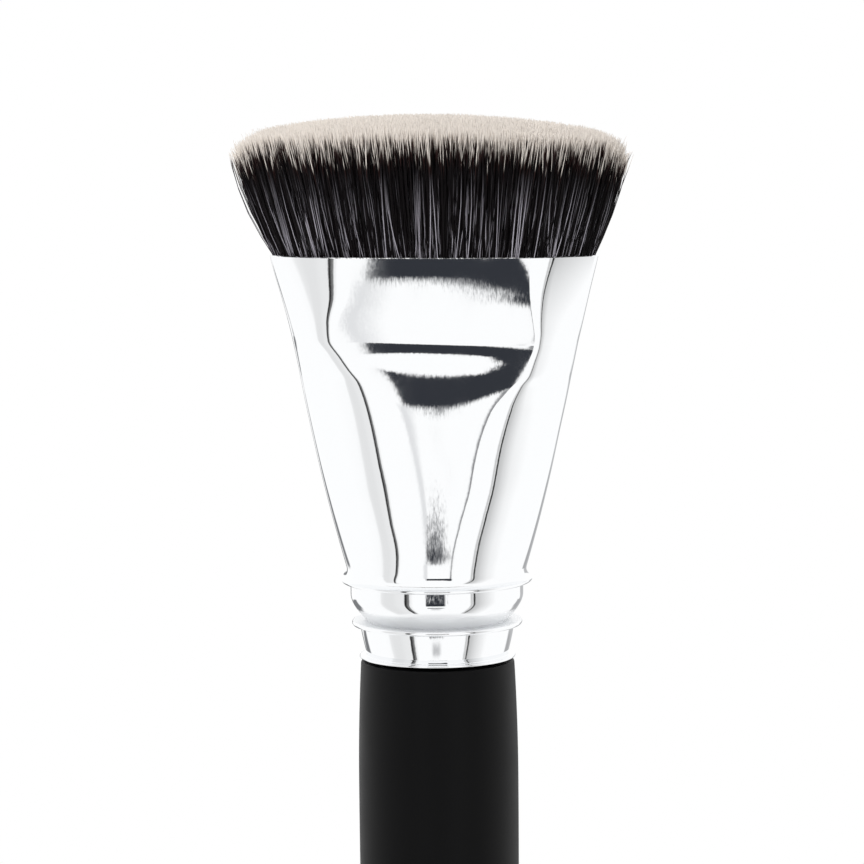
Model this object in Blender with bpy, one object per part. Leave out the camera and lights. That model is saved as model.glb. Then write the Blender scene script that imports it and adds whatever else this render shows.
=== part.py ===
"""Flat contour brush, standing upright on the flat end of its handle.

The origin is the middle of that flat end. +Z runs up the handle to the tips of the fibres, X is
the brush's width and -Y is its front face. Every length is in metres.
"""

import math
import random

import bmesh
import bpy
from mathutils import Vector

# Handle: heights run from its flat end, drops run down from its shoulder
HANDLE_LENGTH = 0.118
HANDLE_TOP_RADIUS = 0.0074
HANDLE_BELLY_SWELL = 0.00018
HANDLE_BELLY_RADIUS = HANDLE_TOP_RADIUS + HANDLE_BELLY_SWELL
HANDLE_BELLY_DROP = 0.0115
HANDLE_END_RADIUS = 0.0046
HANDLE_END_ROUND = 0.0042
HANDLE_FLAT_RADIUS = 0.0022
HANDLE_SHOULDER_FILLET = 0.0003
TENON_SHOULDER = 0.0022
TENON_RADIUS = HANDLE_TOP_RADIUS - TENON_SHOULDER
TENON_LENGTH = 0.0095
TENON_CHAMFER = 0.0006

# Room between pieces that lie against each other
SEAT_GAP = 0.0003

# Ferrule: heights run up from the handle's shoulder, and its round end follows the handle
FERRULE_WALL = 0.00035
LIP_OVERHANG = 0.0001
LIP_THICKNESS = 0.00025
LIP_RADIUS = HANDLE_TOP_RADIUS + LIP_OVERHANG
LOWER_BAND_INSET = 0.0006
LOWER_BAND_FLARE = 0.00062
LOWER_BAND_FOOT_RADIUS = HANDLE_TOP_RADIUS - LOWER_BAND_INSET
LOWER_BAND_TOP_RADIUS = LOWER_BAND_FOOT_RADIUS + LOWER_BAND_FLARE
LOWER_BEAD_RISE = 0.00078
LOWER_BEAD_RADIUS = LOWER_BAND_TOP_RADIUS + LOWER_BEAD_RISE
LOWER_BEAD_HEIGHT = 0.0037
WAIST_INSET = 0.00065
WAIST_RADIUS = HANDLE_TOP_RADIUS - WAIST_INSET
CUP_HEIGHT = 0.0026
CUP_FLARE = 0.00157
UPPER_BAND_RADIUS = WAIST_RADIUS + CUP_FLARE
UPPER_BEAD_RISE = 0.00088
UPPER_BEAD_RADIUS = UPPER_BAND_RADIUS + UPPER_BEAD_RISE
UPPER_BEAD_HEIGHT = 0.0079
BEAD_THICKNESS = 0.00045

# Ferrule body: a cone from the upper bead to the crease, then the pressed band up to the mouth
CONE_FOOT_STEP = 0.00008
CONE_FOOT_RADIUS = UPPER_BAND_RADIUS + CONE_FOOT_STEP
CONE_HEIGHT = 0.02325
CREASE_HALF_WIDTH = 0.01383
CREASE_HALF_DEPTH = 0.00575
BAND_HEIGHT = 0.00785
MOUTH_HALF_WIDTH = 0.0158
MOUTH_HALF_DEPTH = 0.0053
RIM_CROWN = 0.00035
SIDE_LEAST_RADIUS = 0.0001

# The outline of the body turns through these angles: front panel, then shoulder, then side
SHOULDER_TURN = math.radians(25)
SIDE_TURN = math.radians(45)

# Rows up the body, as shares of: the height, the growth in half width, the loss of half depth,
# and the row's own half width out to where the panel ends and to where the shoulder turn ends
CONE_SHARES = (
    (0.0, 0.0, 1.0, 0.0, 0.4226),
    (0.119, 0.147, 0.928, 0.02, 0.419),
    (0.266, 0.317, 0.79, 0.094, 0.4445),
    (0.438, 0.497, 0.63, 0.19, 0.482),
    (0.607, 0.654, 0.551, 0.293, 0.531),
    (0.749, 0.783, 0.475, 0.375, 0.593),
    (0.849, 0.866, 0.367, 0.473, 0.656),
    (0.922, 0.93, 0.203, 0.58, 0.706),
    (0.974, 0.976, 0.043, 0.664, 0.748),
    (1.0, 1.0, 0.0, 0.675, 0.759),
)
BAND_SHARES = (
    (0.525, 0.518, 0.655, 0.535, 0.694),
    (0.888, 0.898, 0.31, 0.49, 0.683),
    (1.0, 1.0, 0.0, 0.481, 0.68),
)

# Glue round the tenon: it starts above the shoulder and stops below the tenon's top
GLUE_RISE = 0.0012
GLUE_DROP = 0.0009

# Resin under the fibres and the thread that ties them, as drops below the crease
RESIN_FOOT_DROP = 0.0116
RESIN_TOP_DROP = 0.0052
BINDING_FOOT_DROP = 0.0033
BINDING_TOP_DROP = 0.0009
BINDING_THICKNESS = 0.0005

# Fibres: their backing stops below the rim of the mouth, and they reach above it and splay
LOCK_COUNT = 8
BACKING_DROP = 0.0005
ROOT_SPREAD_SHARE = 0.74
OUTERMOST_SHARE = 0.95
STRAND_COLUMNS = 4
STRAND_ROWS = 7
END_STRAND_ROWS = 5
STRAND_HALF_GAP = 0.00006
TIP_REACH = 0.0129
TIP_SPLAY = 0.0031
TIP_SWELL = 0.001
TIP_SIDE_DROP = 0.0019
TIP_FACE_DROP = 0.0006
TIP_SCATTER = 0.00018
TIP_THICKNESS_SHARE = 1.15
ROW_LEAN_SHARE = 0.25
PALE_START_SHARE = 0.8
SPLAY_POWER = 1.4

# Numbers of steps round and along the curved faces
TURNED_STEPS = 32
QUARTER_STEPS = 12
ARC_STEPS = 5
TAPER_STEPS = 9
CUP_STEPS = 4
MERGE_DISTANCE = 0.000001


def finish(name, colour, roughness, metallic=0.0):
    """A plain material of one colour."""
    material = bpy.data.materials.new(name)
    material.use_nodes = True
    shader = material.node_tree.nodes["Principled BSDF"]
    shader.inputs["Base Color"].default_value = (*colour, 1.0)
    shader.inputs["Roughness"].default_value = roughness
    shader.inputs["Metallic"].default_value = metallic
    return material


def place(name, bm, materials, sharp_angle=math.radians(32)):
    """Turns a bmesh into a named object with smooth round faces."""
    bmesh.ops.recalc_face_normals(bm, faces=bm.faces[:])
    mesh = bpy.data.meshes.new(name)
    bm.to_mesh(mesh)
    bm.free()
    mesh.shade_smooth()
    mesh.set_sharp_from_angle(angle=sharp_angle)
    for material in materials:
        mesh.materials.append(material)
    piece = bpy.data.objects.new(name, mesh)
    bpy.context.scene.collection.objects.link(piece)
    return piece


def turned(name, profile, material):
    """Spins a profile of (radius, height) points round the Z axis."""
    bm = bmesh.new()
    points = [bm.verts.new((radius, 0.0, height)) for radius, height in profile]
    edges = [bm.edges.new(pair) for pair in zip(points, points[1:])]
    if profile[0][0] > 0.0:
        edges.append(bm.edges.new((points[-1], points[0])))
    bmesh.ops.spin(
        bm,
        geom=points + edges,
        axis=(0.0, 0.0, 1.0),
        cent=(0.0, 0.0, 0.0),
        steps=TURNED_STEPS,
        angle=math.tau,
        use_merge=True,
    )
    bmesh.ops.remove_doubles(bm, verts=bm.verts[:], dist=MERGE_DISTANCE)
    return place(name, bm, [material])


def drawn_out(bm, points, edges, ring):
    """Extrudes a loop of edges to the next ring of points. Gives the new points and edges."""
    made = bmesh.ops.extrude_edge_only(bm, edges=edges)["geom"]
    fresh = {item for item in made if isinstance(item, bmesh.types.BMVert)}
    above = []
    for point, goal in zip(points, ring):
        ends = [end for edge in point.link_edges for end in edge.verts]
        corner = next(end for end in ends if end in fresh)
        corner.co = goal
        above.append(corner)
    return above, [item for item in made if isinstance(item, bmesh.types.BMEdge)]


def lofted(name, rings, material, hollow=False):
    """Draws the first ring out through the others. A hollow shell comes back to its first ring."""
    bm = bmesh.new()
    points = [bm.verts.new(point) for point in rings[0]]
    edges = [bm.edges.new(pair) for pair in zip(points, points[1:] + points[:1])]
    if not hollow:
        bmesh.ops.edgeloop_fill(bm, edges=edges)
    for ring in rings[1:]:
        points, edges = drawn_out(bm, points, edges, ring)
    if hollow:
        drawn_out(bm, points, edges, rings[0])
        bmesh.ops.remove_doubles(bm, verts=bm.verts[:], dist=MERGE_DISTANCE)
    else:
        bmesh.ops.edgeloop_fill(bm, edges=edges)
    return place(name, bm, [material])


class Outline:
    """A rounded outline: a flat front panel, then arcs for the shoulder, the side and the edge."""

    def __init__(self, half_width, half_depth, flat, shoulder):
        self.half_width = half_width
        self.flat = flat
        start_sin = math.sin(SHOULDER_TURN)
        start_cos = math.cos(SHOULDER_TURN)
        side_sin = math.sin(SIDE_TURN)
        side_cos = math.cos(SIDE_TURN)
        self.front_radius = (shoulder - flat) / start_sin
        across = half_width - shoulder
        down = half_depth - self.front_radius * (1.0 - start_cos)
        side_across = side_sin - start_sin
        side_down = start_cos - side_cos
        edge_across = 1.0 - side_sin
        edge_down = side_cos
        spread = side_across * edge_down - edge_across * side_down
        edge_radius = (side_across * down - side_down * across) / spread
        self.edge_radius = max(edge_radius, SIDE_LEAST_RADIUS)
        self.side_radius = (across - self.edge_radius * edge_across) / side_across

    def inset(self, distance):
        """The same outline, moved in by a distance."""
        inner = Outline.__new__(Outline)
        inner.half_width = self.half_width - distance
        inner.flat = self.flat
        inner.front_radius = self.front_radius - distance
        inner.side_radius = self.side_radius - distance
        inner.edge_radius = max(self.edge_radius - distance, 0.0)
        return inner

    def arcs(self):
        """Each arc's radius with the angles where it starts and ends, from the front panel out."""
        return (
            (self.front_radius, 0.0, SHOULDER_TURN),
            (self.side_radius, SHOULDER_TURN, SIDE_TURN),
            (self.edge_radius, SIDE_TURN, math.pi / 2),
        )

    def half_depth(self):
        """The depth at the middle of the front panel."""
        return sum(r * (math.cos(start) - math.cos(end)) for r, start, end in self.arcs())

    def depth_at(self, across):
        """The half depth at a distance from the middle."""
        x = self.flat
        y = self.half_depth()
        if across <= x:
            return y
        for radius, start, end in self.arcs():
            width = radius * (math.sin(end) - math.sin(start))
            if across <= x + width:
                turn = math.asin(math.sin(start) + (across - x) / radius)
                return y - radius * (math.cos(start) - math.cos(turn))
            x += width
            y -= radius * (math.cos(start) - math.cos(end))
        return 0.0

    def quarter_point(self, share):
        """The point at a share of the way from the middle of the front to the side edge."""
        lengths = [radius * (end - start) for radius, start, end in self.arcs()]
        left = share * (self.flat + sum(lengths))
        if left <= self.flat:
            return left, self.half_depth()
        left -= self.flat
        x = self.flat
        y = self.half_depth()
        for (radius, start, end), length in zip(self.arcs(), lengths):
            turn = start + min(left, length) / radius if radius > 0.0 else end
            x += radius * (math.sin(turn) - math.sin(start))
            y -= radius * (math.cos(start) - math.cos(turn))
            left -= length
            if left <= 0.0:
                break
        return x, max(y, 0.0)

    def ring(self, height, crown=0.0):
        """Points all round the outline, anticlockwise from the front, raised by the crown there."""
        points = []
        front_depth = self.half_depth()
        for step in range(4 * QUARTER_STEPS):
            quarter, part = divmod(step, QUARTER_STEPS)
            share = part / QUARTER_STEPS
            if quarter % 2:
                share = 1.0 - share
            x, y = self.quarter_point(share)
            rise = crown * y / front_depth
            side = 1.0 if quarter < 2 else -1.0
            face = -1.0 if quarter in (0, 3) else 1.0
            points.append(Vector((side * x, face * y, height + rise)))
        return points


def blend(start, end, share):
    """The value at a share of the way from start to end."""
    return start + (end - start) * share


def round_outline(radius):
    """A circle as an outline, so that round and pressed rings match point for point."""
    return Outline(radius, radius, 0.0, radius * math.sin(SHOULDER_TURN))


def cone_foot():
    """The height of the cone's foot above the shoulder."""
    return UPPER_BEAD_HEIGHT + BEAD_THICKNESS / 2


def crease_height():
    """The height of the crease above the shoulder."""
    return cone_foot() + CONE_HEIGHT


def rim_height():
    """The height of the mouth's rim at its sides, above the shoulder."""
    return crease_height() + BAND_HEIGHT


def backing_height():
    """The height above the shoulder where the fibres' backing ends."""
    return rim_height() - BACKING_DROP


def body_rows():
    """The body's outlines from the upper bead to the mouth, each with its height."""
    rows = []
    for height, width, depth, flat, shoulder in CONE_SHARES:
        half_width = blend(CONE_FOOT_RADIUS, CREASE_HALF_WIDTH, width)
        half_depth = blend(CREASE_HALF_DEPTH, CONE_FOOT_RADIUS, depth)
        outline = Outline(half_width, half_depth, flat * half_width, shoulder * half_width)
        rows.append((cone_foot() + height * CONE_HEIGHT, outline))
    for height, width, depth, flat, shoulder in BAND_SHARES:
        half_width = blend(CREASE_HALF_WIDTH, MOUTH_HALF_WIDTH, width)
        half_depth = blend(MOUTH_HALF_DEPTH, CREASE_HALF_DEPTH, depth)
        outline = Outline(half_width, half_depth, flat * half_width, shoulder * half_width)
        rows.append((crease_height() + height * BAND_HEIGHT, outline))
    return rows


def body_outline(height):
    """The body's outline at any height above the shoulder, between its rows."""
    rows = body_rows()
    for (low, under), (high, over) in zip(rows, rows[1:]):
        if height <= high:
            share = max(0.0, (height - low) / (high - low))
            between = Outline.__new__(Outline)
            for name in ("half_width", "flat", "front_radius", "side_radius", "edge_radius"):
                setattr(between, name, blend(getattr(under, name), getattr(over, name), share))
            return between
    return rows[-1][1]


def mouth_outline():
    """What the packed fibres fill: the mouth inside the ferrule's wall and the gap."""
    return body_outline(backing_height()).inset(FERRULE_WALL + SEAT_GAP)


def handle(finish_of):
    """The turned handle, with its tenon."""
    profile = [(0.0, 0.0)]
    for step in range(ARC_STEPS + 1):
        turn = math.pi / 2 * step / ARC_STEPS
        radius = blend(HANDLE_FLAT_RADIUS, HANDLE_END_RADIUS, math.sin(turn))
        profile.append((radius, HANDLE_END_ROUND * (1.0 - math.cos(turn))))
    belly = HANDLE_LENGTH - HANDLE_BELLY_DROP
    for step in range(1, TAPER_STEPS + 1):
        share = step / TAPER_STEPS
        radius = blend(HANDLE_END_RADIUS, HANDLE_BELLY_RADIUS, math.sin(math.pi / 2 * share))
        profile.append((radius, blend(HANDLE_END_ROUND, belly, share)))
    fillet = HANDLE_SHOULDER_FILLET
    for step in range(1, ARC_STEPS + 1):
        share = step / ARC_STEPS
        radius = blend(HANDLE_BELLY_RADIUS, HANDLE_TOP_RADIUS, share * share)
        profile.append((radius, blend(belly, HANDLE_LENGTH - fillet, share)))
    for step in range(1, ARC_STEPS + 1):
        turn = math.pi / 2 * step / ARC_STEPS
        radius = HANDLE_TOP_RADIUS - fillet * (1.0 - math.cos(turn))
        profile.append((radius, HANDLE_LENGTH - fillet * (1.0 - math.sin(turn))))
    tenon_top = HANDLE_LENGTH + TENON_LENGTH
    profile.append((TENON_RADIUS, HANDLE_LENGTH))
    profile.append((TENON_RADIUS, tenon_top - TENON_CHAMFER))
    profile.append((TENON_RADIUS - TENON_CHAMFER, tenon_top))
    profile.append((0.0, tenon_top))
    return turned("handle", profile, finish_of["black_lacquer"])


def waist_height():
    """The height where the cup above the lower bead starts."""
    return LOWER_BEAD_HEIGHT + BEAD_THICKNESS / 2


def cup_radius(share):
    """The radius of the upper band's cup at a share of its height."""
    return blend(WAIST_RADIUS, UPPER_BAND_RADIUS, math.sin(math.pi / 2 * share))


def crimped_rings():
    """The round lower end of the ferrule, outside, from the lip up to the upper bead."""
    half_bead = BEAD_THICKNESS / 2
    lip_top = SEAT_GAP + LIP_THICKNESS
    profile = [
        (LIP_RADIUS, SEAT_GAP),
        (LIP_RADIUS, lip_top),
        (LOWER_BAND_FOOT_RADIUS, lip_top + LIP_THICKNESS),
        (LOWER_BAND_TOP_RADIUS, LOWER_BEAD_HEIGHT - half_bead),
        (LOWER_BEAD_RADIUS, LOWER_BEAD_HEIGHT - half_bead / 2),
        (LOWER_BEAD_RADIUS, LOWER_BEAD_HEIGHT + half_bead / 2),
    ]
    for step in range(CUP_STEPS + 1):
        share = step / CUP_STEPS
        profile.append((cup_radius(share), waist_height() + share * CUP_HEIGHT))
    profile.append((UPPER_BAND_RADIUS, UPPER_BEAD_HEIGHT - half_bead))
    profile.append((UPPER_BEAD_RADIUS, UPPER_BEAD_HEIGHT - half_bead / 2))
    profile.append((UPPER_BEAD_RADIUS, UPPER_BEAD_HEIGHT + half_bead / 2))
    return profile


def bore_rings():
    """The round lower end of the ferrule, inside, from the cone's foot down to the lip."""
    profile = [(UPPER_BAND_RADIUS - FERRULE_WALL, UPPER_BEAD_HEIGHT - BEAD_THICKNESS)]
    for step in range(CUP_STEPS, -1, -1):
        share = step / CUP_STEPS
        profile.append((cup_radius(share) - FERRULE_WALL, waist_height() + share * CUP_HEIGHT))
    profile.append((LOWER_BAND_FOOT_RADIUS - FERRULE_WALL, SEAT_GAP))
    return profile


def ferrule(finish_of):
    """The thin metal ferrule: crimped rings, cone, crease and pressed mouth, in one shell."""
    rings = []
    for radius, height in crimped_rings():
        rings.append(round_outline(radius).ring(HANDLE_LENGTH + height))
    rows = body_rows()
    for height, outline in rows[:-1]:
        rings.append(outline.ring(HANDLE_LENGTH + height))
    mouth_height, mouth = rows[-1]
    rings.append(mouth.ring(HANDLE_LENGTH + mouth_height, RIM_CROWN))
    rings.append(mouth.inset(FERRULE_WALL).ring(HANDLE_LENGTH + mouth_height, RIM_CROWN))
    for height, outline in reversed(rows[:-1]):
        rings.append(outline.inset(FERRULE_WALL).ring(HANDLE_LENGTH + height))
    for radius, height in bore_rings():
        rings.append(round_outline(radius).ring(HANDLE_LENGTH + height))
    return lofted("ferrule", rings, finish_of["aluminium"], hollow=True)


def tenon_glue(finish_of):
    """The sleeve of glue between the tenon and the ferrule."""
    inner = TENON_RADIUS + SEAT_GAP
    outer = WAIST_RADIUS - FERRULE_WALL - SEAT_GAP
    low = HANDLE_LENGTH + GLUE_RISE
    high = HANDLE_LENGTH + TENON_LENGTH - GLUE_DROP
    profile = [(inner, low), (outer, low), (outer, high), (inner, high)]
    return turned("tenon_glue", profile, finish_of["clear_glue"])


def root_resin(finish_of):
    """The resin that was poured in behind the fibres, and took the ferrule's shape."""
    rings = []
    for share in (0.0, 0.5, 1.0):
        height = crease_height() - blend(RESIN_FOOT_DROP, RESIN_TOP_DROP, share)
        outline = body_outline(height).inset(FERRULE_WALL + SEAT_GAP)
        rings.append(outline.ring(HANDLE_LENGTH + height))
    return lofted("root_resin", rings, finish_of["amber_resin"])


def root_start():
    """The height of the lower end of the fibres."""
    return crease_height() - RESIN_TOP_DROP + SEAT_GAP


def spread_at(height):
    """How wide the fibres' bundle is at a height, as a share of its width at the mouth."""
    share = (height - root_start()) / (backing_height() - root_start())
    return blend(ROOT_SPREAD_SHARE, 1.0, share)


def bundle_outline(height, clearance):
    """The outline round the tied bundle at a height, with a clearance."""
    mouth = mouth_outline()
    spread = spread_at(height)
    shoulder = mouth.flat + mouth.front_radius * math.sin(SHOULDER_TURN)
    return Outline(
        mouth.half_width * spread + clearance,
        mouth.half_depth() + clearance,
        mouth.flat * spread,
        shoulder * spread + clearance * math.sin(SHOULDER_TURN),
    )


def root_binding(finish_of):
    """The band of thread wound round the fibres' roots."""
    rings = []
    outside = SEAT_GAP + BINDING_THICKNESS
    foot = crease_height() - BINDING_FOOT_DROP
    top = crease_height() - BINDING_TOP_DROP
    for height, clearance in (
        (foot, outside),
        (top, outside),
        (top, SEAT_GAP),
        (foot, SEAT_GAP),
    ):
        rings.append(bundle_outline(height, clearance).ring(HANDLE_LENGTH + height))
    return lofted("root_binding", rings, finish_of["cotton_thread"], hollow=True)


def splayed(base, tip, share):
    """A point on a strand that leans out early and straightens towards its tip."""
    lean = 1.0 - (1.0 - share) ** SPLAY_POWER
    point = base.lerp(tip, lean)
    point.z = blend(base.z, tip.z, share)
    return point


def tip_of(base, mouth, rows, scatter):
    """Where the strand that starts at this point ends, on the crowned top of the tuft.

    The strands of one row lean a little to one side and those of the next to the other, so that
    the rows behind fill the gaps of the row in front.
    """
    reach = mouth.half_width * OUTERMOST_SHARE
    row = int((base.y / mouth.depth_at(abs(base.x)) + 1.0) / 2.0 * rows)
    lean = ROW_LEAN_SHARE * 2.0 / (LOCK_COUNT * STRAND_COLUMNS)
    x_share = base.x / reach + (lean if row % 2 else -lean)
    y_share = base.y / mouth.half_depth()
    drop = TIP_SIDE_DROP * x_share * x_share + TIP_FACE_DROP * y_share * y_share
    x = x_share * (MOUTH_HALF_WIDTH + TIP_SPLAY)
    y = y_share * (MOUTH_HALF_DEPTH + TIP_SWELL)
    reach_above = TIP_REACH - drop - scatter.random() * TIP_SCATTER
    return Vector((x, y, HANDLE_LENGTH + rim_height() + reach_above))


def grow_strands(bm, cells, mouth, rows, scatter):
    """Draws each cell of the backing up into one strand, black below and pale at the tip."""
    bmesh.ops.inset_individual(bm, faces=cells, thickness=STRAND_HALF_GAP, use_even_offset=True)
    for cell in cells:
        base = cell.calc_center_median()
        tip = tip_of(base, mouth, rows, scatter)
        corners = [corner.co - base for corner in cell.verts]
        face = cell
        for share, pale in ((PALE_START_SHARE, 0), (1.0, 1)):
            made = bmesh.ops.extrude_discrete_faces(bm, faces=[face])
            face = made["faces"][0]
            middle = splayed(base, tip, share)
            thickness = blend(1.0, TIP_THICKNESS_SHARE, share)
            for corner, offset in zip(face.verts, corners):
                corner.co = middle + offset * thickness
            for edge in face.edges:
                for side in edge.link_faces:
                    side.material_index = pale
            face.material_index = 1


def fibre_lock(number, finish_of):
    """One lock of fibres: a slice of the glued backing with its own strands."""
    mouth = mouth_outline()
    reach = mouth.half_width * OUTERMOST_SHARE
    width = 2.0 * reach / LOCK_COUNT
    left = -reach + (number - 1) * width + SEAT_GAP / 2
    right = left + width - SEAT_GAP
    rows = END_STRAND_ROWS if number in (1, LOCK_COUNT) else STRAND_ROWS
    bm = bmesh.new()
    bmesh.ops.create_grid(bm, x_segments=STRAND_COLUMNS, y_segments=rows, size=0.5)
    for corner in bm.verts:
        x = blend(left, right, corner.co.x + 0.5)
        y = 2.0 * corner.co.y * mouth.depth_at(abs(x))
        corner.co = Vector((x * ROOT_SPREAD_SHARE, y, HANDLE_LENGTH + root_start()))
    root_faces = bm.faces[:]
    made = bmesh.ops.extrude_face_region(bm, geom=root_faces)
    cells = [item for item in made["geom"] if isinstance(item, bmesh.types.BMFace)]
    for corner in {corner for cell in cells for corner in cell.verts}:
        corner.co.x /= ROOT_SPREAD_SHARE
        corner.co.z = HANDLE_LENGTH + backing_height()
    bmesh.ops.dissolve_faces(bm, faces=[face for face in root_faces if face.is_valid])
    bmesh.ops.recalc_face_normals(bm, faces=bm.faces[:])
    cells = bmesh.ops.triangulate(bm, faces=cells, quad_method="ALTERNATE")["faces"]
    grow_strands(bm, cells, mouth, rows, random.Random(number))
    return place(
        f"fibre_lock_{number}", bm, [finish_of["black_fibre"], finish_of["pale_fibre"]]
    )


def clear_scene():
    """Empties the scene."""
    for item in list(bpy.data.objects):
        bpy.data.objects.remove(item, do_unlink=True)


def build():
    """Makes every piece of the brush."""
    clear_scene()
    finish_of = {
        "black_lacquer": finish("black_lacquer", (0.012, 0.012, 0.013), 0.42),
        "aluminium": finish("aluminium", (0.91, 0.92, 0.93), 0.08, 1.0),
        "clear_glue": finish("clear_glue", (0.75, 0.72, 0.62), 0.3),
        "amber_resin": finish("amber_resin", (0.45, 0.28, 0.08), 0.25),
        "cotton_thread": finish("cotton_thread", (0.78, 0.76, 0.7), 0.85),
        "black_fibre": finish("black_fibre", (0.015, 0.013, 0.014), 0.45),
        "pale_fibre": finish("pale_fibre", (0.78, 0.74, 0.68), 0.55),
    }
    pieces = [
        handle(finish_of),
        ferrule(finish_of),
        tenon_glue(finish_of),
        root_resin(finish_of),
        root_binding(finish_of),
    ]
    pieces += [fibre_lock(number, finish_of) for number in range(1, LOCK_COUNT + 1)]
    brush = bpy.data.objects.new("flat_contour_brush", None)
    bpy.context.scene.collection.objects.link(brush)
    for piece in pieces:
        piece.parent = brush


build()
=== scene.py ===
import math

import bmesh
import bpy
import numpy as np
from bpy.props import FloatProperty, FloatVectorProperty, IntProperty, PointerProperty
from bpy.types import Operator, Panel, PropertyGroup
from mathutils import Matrix, Vector, noise


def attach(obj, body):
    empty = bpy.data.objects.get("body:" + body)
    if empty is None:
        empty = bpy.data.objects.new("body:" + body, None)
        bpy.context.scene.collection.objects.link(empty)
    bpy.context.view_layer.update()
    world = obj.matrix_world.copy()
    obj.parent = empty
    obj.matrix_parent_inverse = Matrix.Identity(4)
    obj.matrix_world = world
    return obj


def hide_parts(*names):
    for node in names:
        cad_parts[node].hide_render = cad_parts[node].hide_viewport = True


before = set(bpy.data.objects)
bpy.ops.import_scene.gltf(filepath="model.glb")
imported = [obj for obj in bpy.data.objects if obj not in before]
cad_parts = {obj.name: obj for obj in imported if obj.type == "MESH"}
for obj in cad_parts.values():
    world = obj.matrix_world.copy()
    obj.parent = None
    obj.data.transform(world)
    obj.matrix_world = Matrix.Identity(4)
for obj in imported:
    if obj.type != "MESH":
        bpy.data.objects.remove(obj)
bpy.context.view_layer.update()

bl_info = {
    "name": "Flat Contour Brush",
    "version": (1, 0, 0),
    "blender": (4, 5, 0),
    "location": "View3D > Sidebar > Brush",
    "description": "Builds a flat contour brush with a pressed mirror ferrule and two-tone fibres",
    "category": "Add Mesh",
}

SHOULDER_HEIGHT = 0.118
MERGE_DISTANCE = 0.000001

# A ring round the ferrule is five arcs from the middle of the front to the side: ridge, panel,
# shoulder, side and edge. Each is cut into its own number of steps. The ridge turns by so many
# degrees
ARC_STEPS = (4, 8, 20, 8, 16)
RIDGE_TURN = 3.0

# Levels up the ferrule's body are 0 at the cone's foot, 1 at the crease and 2 at the rim. Its
# half width at a level is counted in the same way
WIDTH_SHARES = (
    (0.0, 0.0), (0.119, 0.147), (0.266, 0.317), (0.438, 0.497), (0.607, 0.654),
    (0.749, 0.783), (0.849, 0.866), (0.922, 0.93), (0.974, 0.976), (1.0, 1.0),
    (1.525, 1.518), (1.888, 1.898), (2.0, 2.0),
)

# A level, the ends of ridge, panel and shoulder there as shares of the half width, and the turns
# in degrees at the panel's and the shoulder's end. The pressed panel differs a little from side
# to side
LEFT_SHARES = (
    (0.0, 0.05, 0.43, 0.62, 9.0, 36.0), (0.06, 0.034, 0.31, 0.52, 9.0, 36.0),
    (0.15, 0.034, 0.277, 0.5, 9.0, 36.0), (0.274, 0.034, 0.315, 0.521, 9.0, 36.0),
    (0.395, 0.055, 0.331, 0.556, 9.0, 36.0), (0.532, 0.104, 0.371, 0.57, 9.0, 36.0),
    (0.695, 0.158, 0.398, 0.592, 7.0, 36.0), (0.825, 0.239, 0.452, 0.631, 5.5, 36.0),
    (0.885, 0.309, 0.537, 0.674, 4.7, 36.0), (0.93, 0.365, 0.586, 0.719, 4.4, 36.0),
    (1.0, 0.441, 0.654, 0.785, 4.3, 36.0), (1.21, 0.492, 0.632, 0.78, 3.8, 36.0),
    (1.59, 0.41, 0.525, 0.777, 3.8, 34.0), (2.0, 0.37, 0.481, 0.75, 4.0, 30.0),
)
RIGHT_SHARES = (
    (0.0, 0.06, 0.225, 0.63, 11.2, 42.0), (0.06, 0.06, 0.221, 0.61, 11.2, 42.0),
    (0.124, 0.062, 0.228, 0.61, 11.2, 42.0), (0.274, 0.077, 0.285, 0.64, 11.2, 42.0),
    (0.395, 0.091, 0.341, 0.663, 11.2, 42.0), (0.532, 0.1, 0.371, 0.674, 11.2, 42.0),
    (0.726, 0.124, 0.462, 0.705, 11.2, 42.0), (0.825, 0.157, 0.585, 0.716, 11.4, 42.0),
    (0.876, 0.176, 0.658, 0.752, 12.0, 42.0), (0.93, 0.185, 0.689, 0.763, 11.6, 42.0),
    (1.0, 0.194, 0.712, 0.777, 11.0, 42.0), (1.12, 0.205, 0.705, 0.776, 10.5, 42.0),
    (1.24, 0.214, 0.685, 0.77, 10.2, 42.0), (1.45, 0.212, 0.65, 0.76, 10.5, 40.0),
    (1.59, 0.2, 0.63, 0.757, 11.0, 38.0), (2.0, 0.142, 0.6, 0.77, 13.0, 32.0),
)

# A level and how far the middle of the front leans back there, in degrees
CONE_LEANS = (
    (0.0, 3.1), (0.08, 3.2), (0.1, 5.2), (0.13, 5.9), (0.18, 5.5), (0.253, 5.1), (0.382, 4.5),
    (0.511, 3.9), (0.683, 3.8), (0.742, 4.9), (0.765, 6.3), (0.833, 9.8), (0.878, 12.4),
    (0.9, 14.2), (0.925, 14.7), (0.945, 14.2), (0.96, 12.4), (1.0, 5.0),
)
BAND_LEANS = (
    (1.0, 2.8), (1.334, 3.0), (1.5, 3.3), (1.653, 4.0), (1.78, 5.2), (1.882, 8.5), (2.0, 10.5),
)

# Levels between which the rim's crown and the crease's slant come in, and the slant goes again
CROWN_LEVELS = (1.5, 2.0)
SLANT_IN_LEVELS = (0.55, 0.95)
SLANT_OUT_LEVELS = (1.1, 1.9)

# Steps along the handle: its rounded end, its taper, its belly and the shoulder's fillet
END_STEPS = 14
TAPER_STEPS = 60
BELLY_STEPS = 16
FILLET_STEPS = 8

# Steps along the ferrule's round end: lip, foot, lower band, each bead, cup, the straight run
# over the cup, and the cup's inside
LIP_STEPS = 8
FOOT_STEPS = 5
BAND_STEPS = 16
BEAD_STEPS = 10
CUP_STEPS = 28
STRAIGHT_STEPS = 7
BORE_STEPS = 12

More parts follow.
